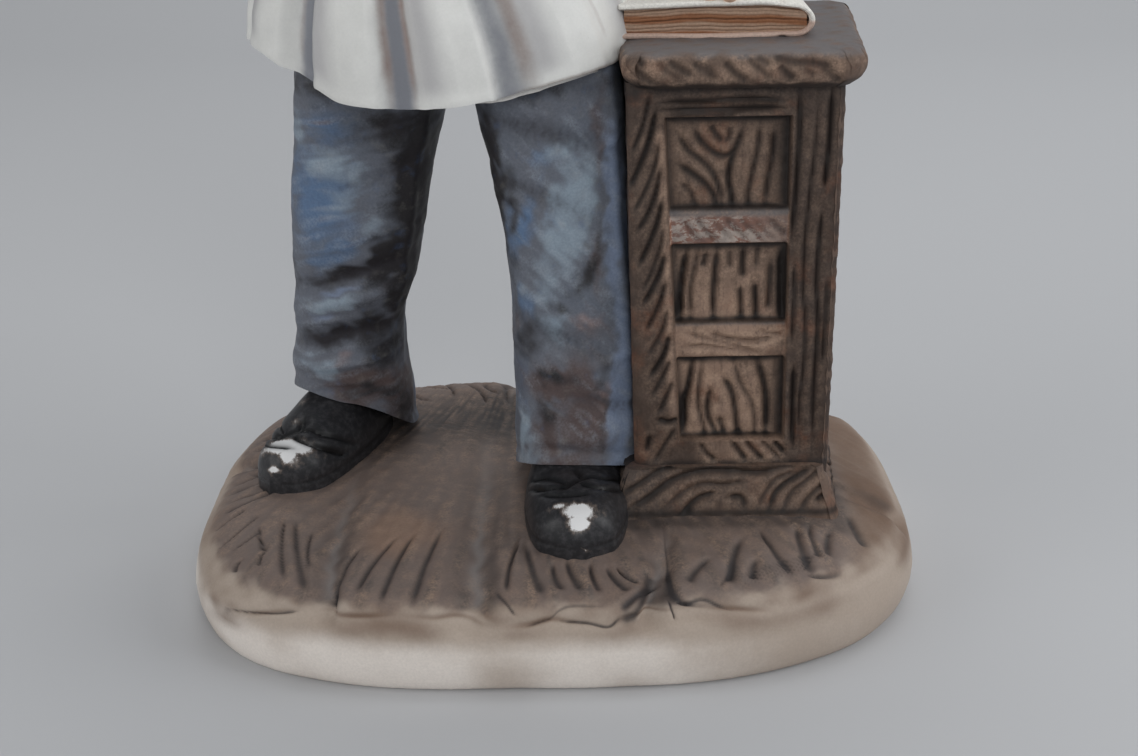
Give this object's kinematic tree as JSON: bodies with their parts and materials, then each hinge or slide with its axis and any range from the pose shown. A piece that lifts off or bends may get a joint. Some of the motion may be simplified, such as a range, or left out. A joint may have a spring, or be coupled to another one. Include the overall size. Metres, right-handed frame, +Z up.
{
  "type": "dentist figurine",
  "caption": "Painted bisque figurine of a dentist in a white coat, standing on a flagstone base beside a small panelled cabinet with a closed book on it.",
  "frame": {"origin": "middle of the base's underside", "axes": "+Z up, -Y the side the figure faces, +X towards the cabinet"},
  "size_m": [0.1314, 0.103, 0.2055],
  "materials": {
    "painted_bisque": "matte unglazed porcelain, hand painted: white coat, washed blue trousers, black shoes, brown wood and stone"
  },
  "bodies": {
    "root": {"dentist_figurine": "painted_bisque"}
  },
  "joints": []
}
